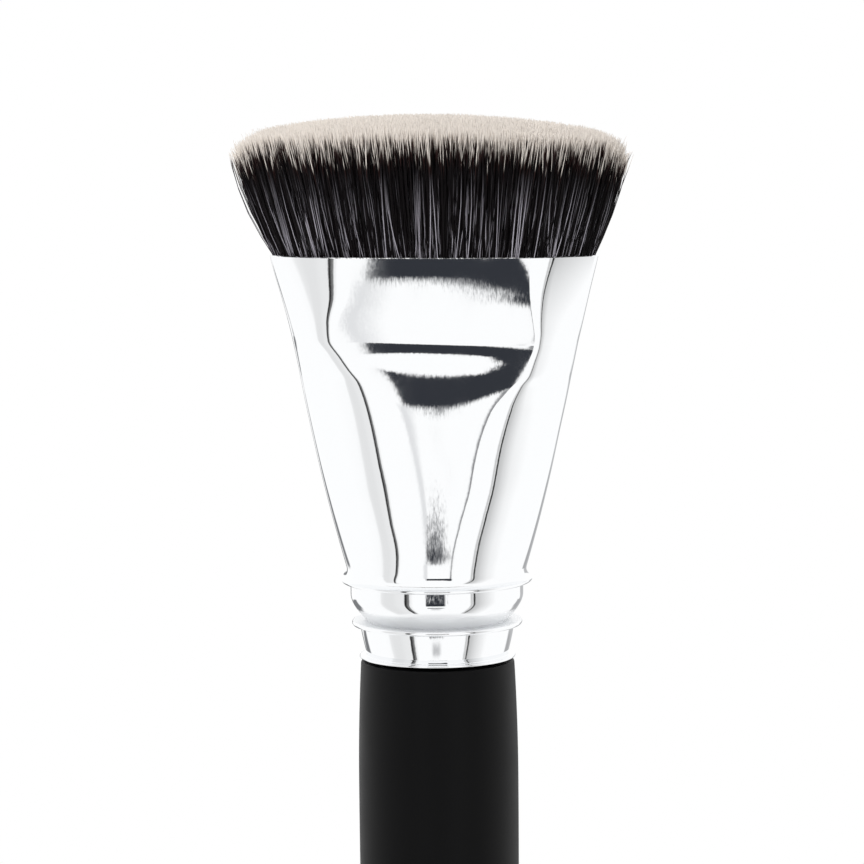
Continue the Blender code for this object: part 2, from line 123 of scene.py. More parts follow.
# Rings in the fillet at the body's foot and from there up the cone, then runs of rings above
# and the run down the inside: first and last level, and number of rings
FILLET_RINGS = 10
CONE_RINGS = 80
RING_RUNS = ((0.85, 0.998, 40), (1.0, 1.08, 10), (1.08, 1.99, 34))
INSIDE_RUN = (1.95, 0.0, 40)
RESIN_RINGS = 16
BINDING_RINGS = 9

# Edges that turn by more than this stay sharp, on solid pieces and on fibres
SHARP_ANGLE = math.radians(32.0)
FIBRE_SHARP_ANGLE = math.radians(75.0)

# How much the ferrule's lower band bulges, as a share of its flare
BULGE_SHARE = 0.3

# Rings of a fibre from its root to its tip, as shares of its length, and its thickness at each
# as a share of that at its root
STRAND_SHARES = np.array((0.0, 0.22, 0.45, 0.68, 0.87, 1.0))
THICKNESS_SHARES = np.array((1.0, 1.0, 0.98, 0.9, 0.8, 0.45))

# Tips wander together in waves, so many to the metre. Each layer of the noise moves them one
# way. A few loose ones wander further
CLUMP_SCALE = 900.0
CLUMP_LAYERS = (3.3, 50.7)
LOOSE_SHARE = 0.02
LOOSE_WANDER = 1.6

# How sharply the tips fall off at the two ends
CORNER_POWER = 20

# How much longer the pale part is well inside the tuft, so that no dark shows between the tips
INNER_PALE_SHARE = 0.18

# Where along a fibre its painted glint fades, its brown comes in and its cream comes in, from and
# to
GLINT_PAINT_SHARES = (0.2, 0.78)
BROWN_SHARES = (0.74, 0.86)
CREAM_SHARES = (0.85, 0.92)

# How far the draw lines tilt the ferrule's mirror up and sideways
LINE_TILT = 0.03
LINE_TURN = 0.012

# The worn groove above the lower bead: its roughness, and the heights above the bead from and
# to which each of its edges fades
GROOVE_WEAR = 0.45
GROOVE_FOOT = (0.0001, 0.0003)
GROOVE_HEAD = (0.0012, 0.0018)

# The floor's fade to white, as shares of its radius, from and to
FLOOR_FADE_SHARES = (0.2, 0.85)

# From the brush towards the lamp
LAMP_SIDE = (-0.45, -0.55, 0.9)


def length(name, description, default, **more):
    """A setting for a length, in metres."""
    return FloatProperty(
        name=name, description=description, default=default, unit="LENGTH", **more
    )


def angle(name, description, degrees):
    """A setting for an angle, given in degrees."""
    return FloatProperty(
        name=name, description=description, default=math.radians(degrees), subtype="ANGLE"
    )


def colour(name, description, default):
    """A setting for a colour."""
    return FloatVectorProperty(
        name=name, description=description, default=default, subtype="COLOR", min=0.0, max=1.0
    )


class HandleSizes(PropertyGroup):
    """Sizes of the turned handle."""

    top_radius: length("Top radius", "Radius at the shoulder", 0.0074)
    belly_swell: length("Belly swell", "How much wider the belly is", 0.0003)
    belly_drop: length("Belly drop", "Belly's place below the shoulder", 0.0115)
    end_radius: length("End radius", "Radius where the end's round starts", 0.0046)
    end_round: length("End round", "Height of the rounded end", 0.0042)
    flat_radius: length("Flat radius", "Radius of the flat under the end", 0.0022)
    fillet: length("Shoulder fillet", "Radius of the shoulder's edge", 0.0003)
    tenon_shoulder: length("Tenon shoulder", "Width of the shoulder round the tenon", 0.0022)
    tenon_length: length("Tenon length", "How far the tenon stands up", 0.0095)
    tenon_chamfer: length("Tenon chamfer", "Chamfer round the tenon's top", 0.0006)
    steps: IntProperty(
        name="Steps", description="Faces round the handle", default=128, min=16
    )


class FerruleSizes(PropertyGroup):
    """Sizes of the drawn and pressed ferrule. Heights start at the handle's shoulder."""

    seat_gap: length("Seat gap", "Room between pieces that touch", 0.0003)
    wall: length("Wall", "Thickness of the metal", 0.00035)
    lip_overhang: length("Lip overhang", "How far the lip passes the shoulder", 0.0001)
    lip_thickness: length("Lip thickness", "Thickness of the lip", 0.00025)
    band_inset: length("Lower band inset", "Lower band's foot inside the shoulder", 0.0006)
    band_flare: length("Lower band flare", "How much the lower band widens", 0.00062)
    lower_bead_rise: length("Lower bead rise", "How far the lower bead stands proud", 0.00078)
    lower_bead_height: length("Lower bead height", "Height of the lower bead", 0.0037)
    waist_inset: length("Waist inset", "Waist's foot inside the shoulder", 0.00065)
    cup_height: length("Cup height", "Height of the cup over the waist", 0.0026)
    cup_flare: length("Cup flare", "How much the cup widens", 0.00157)
    upper_bead_rise: length("Upper bead rise", "How far the upper bead stands proud", 0.00088)
    upper_bead_height: length("Upper bead height", "Height of the upper bead", 0.0079)
    bead_thickness: length("Bead thickness", "Thickness of both beads", 0.00045)
    foot_step: length("Foot step", "How much wider the cone's foot is than the band", 0.00008)
    foot_fillet: length("Foot fillet", "Radius where the cone meets the upper bead", 0.001)
    cone_height: length("Cone height", "From the upper bead to the crease", 0.02325)
    band_height: length("Pressed band height", "From the crease to the rim", 0.00785)
    crease_half_width: length("Crease half width", "Half the width at the crease", 0.01383)
    mouth_half_width: length("Mouth half width", "Half the width of the mouth", 0.0158)
    mouth_half_depth: length("Mouth half depth", "Half the depth of the mouth", 0.0053)
    rim_crown: length("Rim crown", "How much higher the rim's middle is", 0.00035)
    crease_flat: length("Crease flat", "Half the width of the flat at the crease", 0.0098)
    crease_slant: length(
        "Crease slant", "How far the crease falls from its left to its right", 0.0006
    )


class TuftSizes(PropertyGroup):
    """Sizes of the fibres."""

    bunches: IntProperty(
        name="Bunches", description="Bunches side by side", default=8, min=1
    )
    columns: IntProperty(
        name="Columns", description="Pairs of fibres across a bunch", default=33, min=1
    )
    rows: IntProperty(
        name="Rows", description="Fibres from front to back", default=52, min=1
    )
    fibre_radius: length("Fibre radius", "Radius of one fibre", 0.000055, precision=6)
    root_drop: length("Root drop", "How far below the rim the fibres start", 0.0005)
    reach: length("Reach", "How far the middle fibres stand above the rim", 0.01345)
    splay: length("Splay", "How far the tips spread past the mouth's side", 0.0025)
    sideways: length("Sideways", "How far all the tips lean to the left", 0.0002)
    widest: length("Widest", "How far out the outermost tips may end", 0.0195)
    tilt: length("Tilt", "How much higher the left tips are than the right ones", 0.0003)
    corner_drop: length("Corner drop", "How much the tips fall off at the two ends", 0.0016)
    swell: length("Swell", "How far the tips spread past the mouth's front", 0.001)
    side_drop: length("Side drop", "How much lower the tips at the sides are", 0.0019)
    face_drop: length("Face drop", "How much lower the tips at the front are", 0.0006)
    scatter: length("Scatter", "How unevenly the tips end", 0.00045)
    stray: length("Stray", "How far the tips wander from their rows", 0.00042)
    bow: length("Bow", "How far a fibre bows sideways", 0.0005)
    lean_power: FloatProperty(
        name="Lean power", description="How early the fibres lean out", default=1.05
    )


class RootSizes(PropertyGroup):
    """Sizes of the resin and the thread that hold the roots, measured down from the crease."""

    resin_foot: length("Resin foot", "Lower end of the resin", 0.0116)
    resin_top: length("Resin top", "Upper end of the resin", 0.0052)
    binding_foot: length("Binding foot", "Lower end of the thread", 0.0033)
    binding_top: length("Binding top", "Upper end of the thread", 0.0009)
    binding_thickness: length("Binding thickness", "Thickness of the wound thread", 0.0005)


class Finishes(PropertyGroup):
    """Colours of the finishes."""

    lacquer: colour("Lacquer", "Matt lacquer on the handle", (0.0015, 0.0015, 0.0017))
    metal: colour("Metal", "Polished ferrule", (0.94, 0.95, 0.96))
    fibre_dark: colour("Dark fibre", "Lower part of the fibres", (0.004, 0.003, 0.0035))
    # Painted highlight: this grey is painted on odd fibres where real shiny fibres would catch the
    # light.
    fibre_glint_paint: colour("Grey fibre", "Odd fibres that catch the light", (0.42, 0.4, 0.45))
    fibre_brown: colour("Brown fibre", "Fibres just below their pale tips", (0.026, 0.0105, 0.0095))
    fibre_cream: colour("Cream fibre", "Tips of the fibres", (0.8, 0.74, 0.68))
    glue: colour("Glue", "Glue round the tenon", (0.75, 0.72, 0.62))
    resin: colour("Resin", "Resin under the fibres", (0.45, 0.28, 0.08))
    thread: colour("Thread", "Thread round the roots", (0.78, 0.76, 0.7))
    floor: colour("Floor", "Pale floor", (0.86, 0.86, 0.86))


class StageSizes(PropertyGroup):
    """The floor, the lamp and the camera."""

    floor_radius: length("Floor radius", "Radius of the floor", 0.45)
    lamp_distance: length("Lamp distance", "From the brush to the lamp", 0.9)
    lamp_size: length("Lamp size", "Side of the square lamp", 0.5)
    lamp_power: FloatProperty(
        name="Lamp power", description="Power of the lamp in watts", default=5.0
    )
    azimuth: angle("Camera azimuth", "How far round to the right the camera stands", 4.5)
    elevation: angle("Camera elevation", "The camera's height, seen from the shoulder", 9.43)
    distance: length("Camera distance", "From the camera to the shoulder", 0.895)
    aim_side: length(
        "Aim to the side", "Where the camera looks, from the brush's middle", -0.000346
    )
    aim_height: length("Aim height", "Where the camera looks, above the shoulder", 0.0221)
    roll: angle("Camera roll", "How far the brush leans to the left", 0.533)
    lens: FloatProperty(
        name="Lens", description="Focal length in millimetres", default=386.66
    )


class BrushSettings(PropertyGroup):
    """Everything that can be set on the brush."""

    handle: PointerProperty(type=HandleSizes)
    ferrule: PointerProperty(type=FerruleSizes)
    tuft: PointerProperty(type=TuftSizes)
    roots: PointerProperty(type=RootSizes)
    finishes: PointerProperty(type=Finishes)
    stage: PointerProperty(type=StageSizes)


def settings():
    """The brush's settings in the scene."""
    return bpy.context.scene.contour_brush


def blend(start, end, share):
    """The value at a share of the way from start to end."""
    return start + (end - start) * share


def eased(low, high, value):
    """0 below low, 1 above high and a smooth step between them."""
    share = np.clip((np.asarray(value, float) - low) / (high - low), 0.0, 1.0)
    return share * share * (3.0 - 2.0 * share)


def smooth_through(table, at):
    """Values at any place of a smooth line through a table's points, which doesn't overshoot."""
    x, y = np.array(table, float).T
    step = np.diff(x)
    rise = np.diff(y) / step
    slope = np.concatenate(([rise[0]], np.zeros(len(rise) - 1), [rise[-1]]))
    same = rise[:-1] * rise[1:] > 0.0
    first = 2.0 * step[1:] + step[:-1]
    second = step[1:] + 2.0 * step[:-1]
    before, after = (np.where(same, part, 1.0) for part in (rise[:-1], rise[1:]))
    mean = (first + second) / (first / before + second / after)
    slope[1:-1] = np.where(same, mean, 0.0)
    at = np.asarray(at, float)
    cell = np.clip(np.searchsorted(x, at, side="right") - 1, 0, len(step) - 1)
    share = (at - x[cell]) / step[cell]
    left, right = slope[cell] * step[cell], slope[cell + 1] * step[cell]
    return (
        y[cell] * (1.0 + 2.0 * share) * (1.0 - share) ** 2
        + left * share * (1.0 - share) ** 2
        + y[cell + 1] * share**2 * (3.0 - 2.0 * share)
        + right * share**2 * (share - 1.0)
    )


def linked(name, data):
    """A new object in the scene."""
    made = bpy.data.objects.new(name, data)
    bpy.context.scene.collection.objects.link(made)
    return made


def place(name, bm, materials, sharp_angle=SHARP_ANGLE):
    """Turns a bmesh into a piece that rides on the brush."""
    mesh = bpy.data.meshes.new(name)
    bm.to_mesh(mesh)
    bm.free()
    mesh.shade_smooth()
    mesh.set_sharp_from_angle(angle=sharp_angle)
    for material in materials:
        mesh.materials.append(material)
    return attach(linked(name, mesh), "root")


def wrapped(name, rings, material, capped=False):
    """Wraps a grid round a stack of rings. The last meets the first, or the ends are capped."""
    rows, count, _ = rings.shape
    cells = rows - 1 if capped else rows
    bm = bmesh.new()
    bmesh.ops.create_grid(bm, x_segments=count, y_segments=cells, size=0.5)
    for corner in bm.verts:
        across = round((corner.co.x + 0.5) * count)
        up = round((corner.co.y + 0.5) * cells)
        corner.co = rings[up % rows][across % count]
    seam = [corner for corner in bm.verts if corner.is_boundary]
    bmesh.ops.remove_doubles(bm, verts=seam, dist=MERGE_DISTANCE)
    if capped:
        ends = [edge for edge in bm.edges if edge.is_boundary]
        bmesh.ops.holes_fill(bm, edges=ends, sides=count)
    bmesh.ops.recalc_face_normals(bm, faces=bm.faces[:])
    return place(name, bm, [material])


class NodeKit:
    """A node tree and the few kinds of node that the finishes and the surroundings share."""

    def __init__(self, tree):
        self.tree = tree

    def node(self, kind, inputs=None, **values):
        """A new node with values set and inputs linked or set."""
        made = self.tree.nodes.new(kind)
        for key, value in values.items():
            setattr(made, key, value)
        for key, value in (inputs or {}).items():
            self.give(made.inputs[key], value)
        return made

    def give(self, socket, value):
        """Links a socket to another one, or sets its value."""
        if isinstance(value, bpy.types.NodeSocket):
            self.tree.links.new(value, socket)
        elif hasattr(value, "__len__") and len(value) == 3 and socket.type == "RGBA":
            socket.default_value = (*value, 1.0)
        else:
            socket.default_value = value

    def math(self, operation, first, second=0.0):
        """One sum."""
        made = self.node("ShaderNodeMath", {0: first, 1: second}, operation=operation)
        return made.outputs["Value"]

    def step(self, value, low, high, start=0.0, end=1.0):
        """A smooth step from start to end as the value goes from low to high."""
        made = self.node(
            "ShaderNodeMapRange",
            {"Value": value, "From Min": low, "From Max": high, "To Min": start, "To Max": end},
            interpolation_type="SMOOTHSTEP",
        )
        return made.outputs["Result"]

    def between(self, value, rise, fall):
        """1 between two soft edges and 0 outside. An edge is where its fade starts and ends."""
        return self.math("MULTIPLY", self.step(value, *rise), self.step(value, *fall, 1.0, 0.0))

    def mix(self, factor, first, second):
        """A colour between two colours."""
        made = self.node("ShaderNodeMix", data_type="RGBA")
        self.give(made.inputs["Factor"], factor)
        self.give(made.inputs[6], first)
        self.give(made.inputs[7], second)
        return made.outputs[2]

    def fade(self, factor, first, second):
        """A shader that goes from the first to the second."""
        return self.node("ShaderNodeMixShader", {0: factor, 1: first, 2: second}).outputs[0]


class Shader(NodeKit):
    """A material with its main shader and the patterns that the finishes share."""

    def __init__(self, name):
        self.material = bpy.data.materials.new(name)
        self.material.use_nodes = True
        super().__init__(self.material.node_tree)
        self.surface = self.tree.nodes["Principled BSDF"]

    def set(self, **values):
        """Sets or links the inputs of the main shader, named with underscores."""
        for key, value in values.items():
            name = key.replace("_", " ").title().replace("Ior", "IOR")
            self.give(self.surface.inputs[name], value)

    def place_in_piece(self, scale=(1.0, 1.0, 1.0)):
        """The piece's own coordinates, stretched."""
        source = self.node("ShaderNodeTexCoord").outputs["Object"]
        return self.node("ShaderNodeMapping", {"Vector": source, "Scale": scale}).outputs["Vector"]

    def noise(self, vector, scale, detail=2.0, roughness=0.5):
        """Soft noise from 0 to 1."""
        made = self.node(
            "ShaderNodeTexNoise",
            {"Vector": vector, "Scale": scale, "Detail": detail, "Roughness": roughness},
        )
        return made.outputs[0]

    def bump(self, height, distance, strength=1.0):
        """A bumped normal."""
        inputs = {"Height": height, "Distance": distance, "Strength": strength}
        return self.node("ShaderNodeBump", inputs).outputs["Normal"]


def toned(own_colour, share):
    """A colour made lighter or darker."""
    return [part * share for part in own_colour]


def black_lacquer():
    """Matt black lacquer with the fine orange peel that a sprayed coat has."""
    shader = Shader("black_lacquer")
    here = shader.place_in_piece()
    peel = shader.noise(here, 9000.0, 3.0, 0.6)
    cloud = shader.noise(here, 260.0, 2.0)
    black = settings().finishes.lacquer
    shader.set(
        base_color=shader.mix(peel, black, toned(black, 1.5)),
        roughness=shader.step(cloud, 0.3, 0.7, 0.43, 0.46),
        normal=shader.bump(peel, 0.000012, 0.6),
        specular_ior_level=0.105,
    )
    return shader.material


def polished_metal():
    """Polished drawn metal. Fine draw lines tilt its mirror a little, and dust lies on it."""
    shader = Shader("polished_metal")
    lines = shader.noise(shader.place_in_piece((7000.0, 7000.0, 1500.0)), 1.0, 2.0, 0.6)
    sideways = shader.noise(shader.place_in_piece((5200.0, 5200.0, 2600.0)), 1.0, 2.0, 0.6)
    tilt = shader.math("MULTIPLY", shader.math("SUBTRACT", lines, 0.5), LINE_TILT)
    turn = shader.math("MULTIPLY", shader.math("SUBTRACT", sideways, 0.5), LINE_TURN)
    lean = shader.node("ShaderNodeCombineXYZ", {"X": turn, "Z": tilt}).outputs["Vector"]
    normal = shader.node("ShaderNodeNewGeometry").outputs["Normal"]
    leant = shader.node("ShaderNodeVectorMath", {0: normal, 1: lean}, operation="ADD")
    unit = shader.node("ShaderNodeVectorMath", {0: leant.outputs[0]}, operation="NORMALIZE")
    smear = shader.noise(shader.place_in_piece((420.0, 420.0, 150.0)), 1.0, 3.0)
    height = shader.node(
        "ShaderNodeSeparateXYZ", {"Vector": shader.place_in_piece()}
    ).outputs["Z"]
    bead = SHOULDER_HEIGHT + settings().ferrule.lower_bead_height
    edges = ([bead + rise for rise in edge] for edge in (GROOVE_FOOT, GROOVE_HEAD))
    worn = shader.math("MULTIPLY", shader.between(height, *edges), GROOVE_WEAR)
    shader.set(
        base_color=settings().finishes.metal,
        roughness=shader.math("ADD", shader.step(smear, 0.35, 0.75, 0.035, 0.075), worn),
        normal=unit.outputs[0],
        metallic=1.0,
    )
    return shader.material


def two_tone_fibre():
    """Fibres, dark below and cream at the tip, with a painted glint on odd fibres. Each has its own
    tone and its own change.
    """
    shader = Shader("two_tone_fibre")
    finishes = settings().finishes
    strand = shader.node("ShaderNodeAttribute", attribute_name="strand").outputs["Vector"]
    parts = shader.node("ShaderNodeSeparateXYZ", {"Vector": strand})
    tone, along, own = (parts.outputs[axis] for axis in "XYZ")
    # Painted highlight: odd fibres are painted grey along their lower part, fading towards the tip,
    # in place of the light that shiny fibres catch.
    odd = shader.step(tone, 0.76, 0.8)
    lit = shader.math("MULTIPLY", odd, shader.step(along, *GLINT_PAINT_SHARES, 1.0, 0.0))
    deep = shader.mix(own, finishes.fibre_dark, toned(finishes.fibre_dark, 2.2))
    glint_paint_amount = shader.math("MULTIPLY", lit, shader.math("ADD", own, 0.4))
    lower = shader.mix(glint_paint_amount, deep, finishes.fibre_glint_paint)
    spread = shader.math("MULTIPLY", shader.math("SUBTRACT", own, 0.5), 0.18)
    start = shader.math("ADD", along, spread)
    early = shader.math("MULTIPLY", shader.math("POWER", own, 8.0), 0.08)
    start = shader.math("ADD", start, early)
    warm = shader.mix(shader.step(start, *BROWN_SHARES), lower, finishes.fibre_brown)
    pale = shader.step(start, *CREAM_SHARES)
    cream = finishes.fibre_cream
    tip = shader.mix(shader.step(tone, 0.0, 1.0), cream, toned(cream, 0.9))
    shader.set(
        base_color=shader.mix(pale, warm, tip),
        roughness=shader.step(pale, 0.0, 1.0, 0.38, 0.6),
        specular_ior_level=0.12,
    )
    return shader.material


def cloudy(name, own_colour, darkest, size, detail, roughness, skin):
    """Something set or cast, a little uneven in its colour, its gloss and its skin."""
    shader = Shader(name)
    cloud = shader.noise(shader.place_in_piece(), size, detail)
    shader.set(
        base_color=shader.mix(cloud, toned(own_colour, darkest), own_colour),
        roughness=shader.step(cloud, 0.3, 0.7, *roughness),
        normal=shader.bump(cloud, *skin),
    )
    return shader.material


def clear_glue():
    """Set glue with a slightly uneven skin."""
    own_colour = settings().finishes.glue
    return cloudy("clear_glue", own_colour, 0.85, 700.0, 2.0, (0.2, 0.36), (0.00008, 0.5))


def amber_resin():
    """Cast resin, darker in uneven clouds."""
    own_colour = settings().finishes.resin
    return cloudy("amber_resin", own_colour, 0.6, 350.0, 3.0, (0.15, 0.3), (0.0001, 0.4))


def wound_thread():
    """Thread wound side by side, with a twist in each turn, and painted shade in the grooves
    between turns.
    """
    shader = Shader("wound_thread")
    turns = shader.node(
        "ShaderNodeTexWave",
        {"Vector": shader.place_in_piece(), "Scale": 1250.0, "Distortion": 0.4},
        wave_type="BANDS", bands_direction="Z",
    ).outputs["Color"]
    fluff = shader.noise(shader.place_in_piece(), 6000.0, 2.0)
    height = shader.math("ADD", turns, shader.math("MULTIPLY", fluff, 0.3))
    cotton = settings().finishes.thread
    shader.set(
        # Painted shade: the colour darkens where the bump is low, in the grooves between the turns.
        base_color=shader.mix(turns, toned(cotton, 0.55), cotton),
        roughness=shader.step(fluff, 0.3, 0.7, 0.75, 0.95),
        normal=shader.bump(height, 0.0001),
    )
    return shader.material


def pale_floor():
    """A pale matt floor that takes the brush's shadow and ends in the white around it."""
    shader = Shader("pale_floor")
    grain = shader.noise(shader.place_in_piece(), 900.0, 2.0)
    pale = settings().finishes.floor
    shader.set(
        base_color=shader.mix(grain, pale, toned(pale, 1.02)),
        roughness=shader.step(grain, 0.3, 0.7, 0.8, 0.9),
    )
    distance = shader.node(
        "ShaderNodeVectorMath", {0: shader.place_in_piece()}, operation="LENGTH"
    ).outputs["Value"]
    radius = settings().stage.floor_radius
    away = shader.step(distance, *(radius * share for share in FLOOR_FADE_SHARES))
    white = shader.node("ShaderNodeEmission", {"Color": (1.0, 1.0, 1.0), "Strength": 1.0})
    floor = shader.fade(away, shader.surface.outputs[0], white.outputs[0])
    mirrored = shader.node("ShaderNodeLightPath").outputs["Is Glossy Ray"]
    clear = shader.node("ShaderNodeBsdfTransparent")
    seen = shader.fade(mirrored, floor, clear.outputs[0])
    shader.tree.links.new(seen, shader.tree.nodes["Material Output"].inputs["Surface"])
    return shader.material


def arc_points(centre, radius, start, end, steps):
    """Points of (radius, height) on an arc, at even turns."""
    turns = np.radians(np.linspace(start, end, steps + 1))
    return [(centre[0] + radius * math.cos(t), centre[1] + radius * math.sin(t)) for t in turns]


def bowed_points(start, end, steps, bow):
    """Points of (radius, height) after start up to end. A bow shares out the radius."""
    return [
        (blend(start[0], end[0], bow(share)), blend(start[1], end[1], share))
        for share in np.linspace(0.0, 1.0, steps + 1)[1:]
    ]


def levelling(share):
    """A bow that rises at first and is level at its end."""
    return math.sin(math.pi / 2 * share)


def bulging(share):
    """A bow that stands a little proud of a straight line."""
    return share * (1.0 + BULGE_SHARE - BULGE_SHARE * share)


def handle_profile(sizes):
    """The handle's outline from the middle of its flat end to the middle of the tenon's top."""
    points = [(0.0, 0.0)]
    for turn in np.linspace(0.0, math.pi / 2, END_STEPS + 1):
        radius = blend(sizes.flat_radius, sizes.end_radius, math.sin(turn))
        points.append((radius, sizes.end_round * (1.0 - math.cos(turn))))
    end = (sizes.end_radius, sizes.end_round)
    belly = (sizes.top_radius + sizes.belly_swell, SHOULDER_HEIGHT - sizes.belly_drop)
    edge = (sizes.top_radius, SHOULDER_HEIGHT - sizes.fillet)
    points += bowed_points(end, belly, TAPER_STEPS, levelling)
    points += bowed_points(belly, edge, BELLY_STEPS, lambda share: share * share)
    centre = (sizes.top_radius - sizes.fillet, SHOULDER_HEIGHT - sizes.fillet)
    points += arc_points(centre, sizes.fillet, 0.0, 90.0, FILLET_STEPS)[1:]
    tenon = sizes.top_radius - sizes.tenon_shoulder
    top = SHOULDER_HEIGHT + sizes.tenon_length
    points += [
        (tenon, SHOULDER_HEIGHT),
        (tenon, top - sizes.tenon_chamfer),
        (tenon - sizes.tenon_chamfer, top),
        (0.0, top),
    ]
    return points


def quarter(radii, limits):
    """Points of a quarter outline, from the middle of its front to its side, along its arcs."""
    x, y = [0.0], [0.0]
    for radius, low, high, steps in zip(radii, limits, limits[1:], ARC_STEPS):
        turns = np.linspace(low, high, steps + 1)[1:]
        begin_x, begin_y = x[-1], y[-1]
        x += list(begin_x + radius * (np.sin(turns) - math.sin(low)))
        y += list(begin_y - radius * (math.cos(low) - np.cos(turns)))
    x, y = np.array(x), np.array(y)
    return x, y - y[-1]


def whole_ring(right, left, height, crown=0.0):
    """A whole ring from two quarter outlines, anticlockwise from the front's middle."""
    parts = []
    for (x, y), side in ((right, 1.0), (left, -1.0)):
        rise = height + crown * y / y[0]
        parts.append(np.stack([x * side, -y, rise], 1))
        parts.append(np.stack([x * side, y, rise], 1))
    return np.concatenate([parts[0][:-1], parts[1][:0:-1], parts[3][:-1], parts[2][:0:-1]])


def round_ring(radius, height):
    """A round ring, cut as the body's first ring is."""
    sides = []
    for table in (RIGHT_SHARES, LEFT_SHARES):
        panel, shoulder = table[0][4:]
        turns = (0.0, RIDGE_TURN, panel, shoulder, (shoulder + 90.0) / 2.0, 90.0)
        sides.append(quarter(np.full(5, radius), np.radians(turns)))
    return whole_ring(*sides, height)


class FerruleShape:
    """The ferrule's outlines at any height, worked out from its sizes."""

    def __init__(self, sizes, top_radius):
        self.sizes = sizes
        self.top_radius = top_radius
        self.foot_radius = top_radius - sizes.waist_inset + sizes.cup_flare + sizes.foot_step
        self.foot = sizes.upper_bead_height + sizes.bead_thickness / 2
        self.crease = self.foot + sizes.cone_height
        self.rim = self.crease + sizes.band_height
        fine = np.linspace(0.0, 2.0, 4001)
        lean = np.where(
            fine < 1.0,
            np.interp(fine, *np.array(CONE_LEANS).T),
            np.interp(fine, *np.array(BAND_LEANS).T),
        )
        height = self.height(fine)
        fall = np.tan(np.radians(lean))
        loss = np.concatenate(([0.0], np.cumsum((fall[1:] + fall[:-1]) / 2 * np.diff(height))))
        self.fine = fine
        whole_loss = self.foot_radius - sizes.mouth_half_depth
        self.depths = self.foot_radius - loss * whole_loss / loss[-1]

    def height(self, level):
        """The height above the shoulder at a level: 0 the foot, 1 the crease, 2 the rim."""
        level = np.asarray(level, float)
        cone = np.minimum(level, 1.0) * self.sizes.cone_height
        return self.foot + cone + np.maximum(level - 1.0, 0.0) * self.sizes.band_height

    def outline(self, level, table, offset=0.0):
        """One side's quarter outline at a level, moved out by an offset."""
        sizes = self.sizes
        grown = float(smooth_through(WIDTH_SHARES, level))
        half_width = blend(self.foot_radius, sizes.crease_half_width, min(grown, 1.0))
        half_width += (sizes.mouth_half_width - sizes.crease_half_width) * max(grown - 1.0, 0.0)
        half_depth = np.interp(level, self.fine, self.depths)
        ridge, panel, shoulder, panel_turn, shoulder_turn = (
            float(smooth_through([(row[0], row[column]) for row in table], level))
            for column in range(1, 6)
        )
        turns = np.radians((0.0, RIDGE_TURN, panel_turn, shoulder_turn))
        front = np.diff((0.0, ridge, panel, shoulder)) * half_width / np.diff(np.sin(turns))
        across = (1.0 - shoulder) * half_width
        down = half_depth + float(front @ np.diff(np.cos(turns)))
        turns = np.append(turns, (math.atan2(down, across), math.pi / 2))
        wide, deep = np.diff(np.sin(turns))[3:], -np.diff(np.cos(turns))[3:]
        edge = (wide[0] * down - deep[0] * across) / (wide[0] * deep[1] - wide[1] * deep[0])
        side = (across - edge * wide[1]) / wide[0]
        if min(side, edge) + offset < 0.0:
            raise ValueError(f"the ferrule's outline crosses itself at level {level}")
        return quarter(np.array([*front, side, edge]) + offset, turns)

    def ring(self, level, offset=0.0, drop=0.0):
        """One ring of the body, with the slant of the crease and the crown of the rim."""
        sizes = self.sizes
        crown = sizes.rim_crown * float(eased(*CROWN_LEVELS, level))
        height = SHOULDER_HEIGHT + self.height(level) - drop
        right = self.outline(level, RIGHT_SHARES, offset)
        left = self.outline(level, LEFT_SHARES, offset)
        points = whole_ring(right, left, height, crown)
        slanted = eased(*SLANT_IN_LEVELS, level) * (1.0 - eased(*SLANT_OUT_LEVELS, level))
        fall = float(slanted) * sizes.crease_slant
        points[:, 2] -= fall * points[:, 0] / (2.0 * sizes.crease_flat)
        return points


def bead_points(radius, height, half_thickness):
    """Points of (radius, height) round a bead that stands out to a radius."""
    centre = (radius - half_thickness, height)
    return arc_points(centre, half_thickness, -90.0, 90.0, BEAD_STEPS)


def round_profile(shape):
    """The ferrule's round lower end outside, from the lip up to the upper bead."""
    sizes = shape.sizes
    half = sizes.bead_thickness / 2
    foot = shape.top_radius - sizes.band_inset
    band_top = foot + sizes.band_flare
    lower = band_top + sizes.lower_bead_rise
    waist = shape.top_radius - sizes.waist_inset
    band = waist + sizes.cup_flare
    upper = band + sizes.upper_bead_rise
    lip = sizes.lip_thickness / 2
    soft = sizes.bead_thickness / 6
    lip_middle = (shape.top_radius + sizes.lip_overhang - lip, sizes.seat_gap + lip)
    points = arc_points(lip_middle, lip, -90.0, 90.0, LIP_STEPS)
    lip_top = sizes.seat_gap + sizes.lip_thickness
    points += arc_points((foot + soft, lip_top + soft), soft, 270.0, 180.0, FOOT_STEPS)
    band_foot = (foot, lip_top + soft)
    band_head = (band_top, sizes.lower_bead_height - half)
    points += bowed_points(band_foot, band_head, BAND_STEPS, bulging)
    points += bead_points(lower, sizes.lower_bead_height, half)
    cup_foot = (waist, sizes.lower_bead_height + half)
    cup_head = (band, cup_foot[1] + sizes.cup_height)
    straight_head = (band, sizes.upper_bead_height - half)
    points += [cup_foot, *bowed_points(cup_foot, cup_head, CUP_STEPS, levelling)]
    points += bowed_points(cup_head, straight_head, STRAIGHT_STEPS, levelling)
    points += bead_points(upper, sizes.upper_bead_height, half)
    return points


def bore_profile(shape):
    """The ferrule's round lower end inside, from the cone's foot down to the lip."""
    sizes = shape.sizes
    waist = shape.top_radius - sizes.waist_inset - sizes.wall
    foot = (waist, sizes.lower_bead_height + sizes.bead_thickness / 2)
    head = (waist + sizes.cup_flare, foot[1] + sizes.cup_height)
    points = [(head[0], sizes.upper_bead_height - sizes.bead_thickness)]
    points += bowed_points(foot, head, BORE_STEPS, levelling)[::-1]
    points += [foot, (shape.top_radius - sizes.band_inset - sizes.wall, sizes.seat_gap)]
    return points


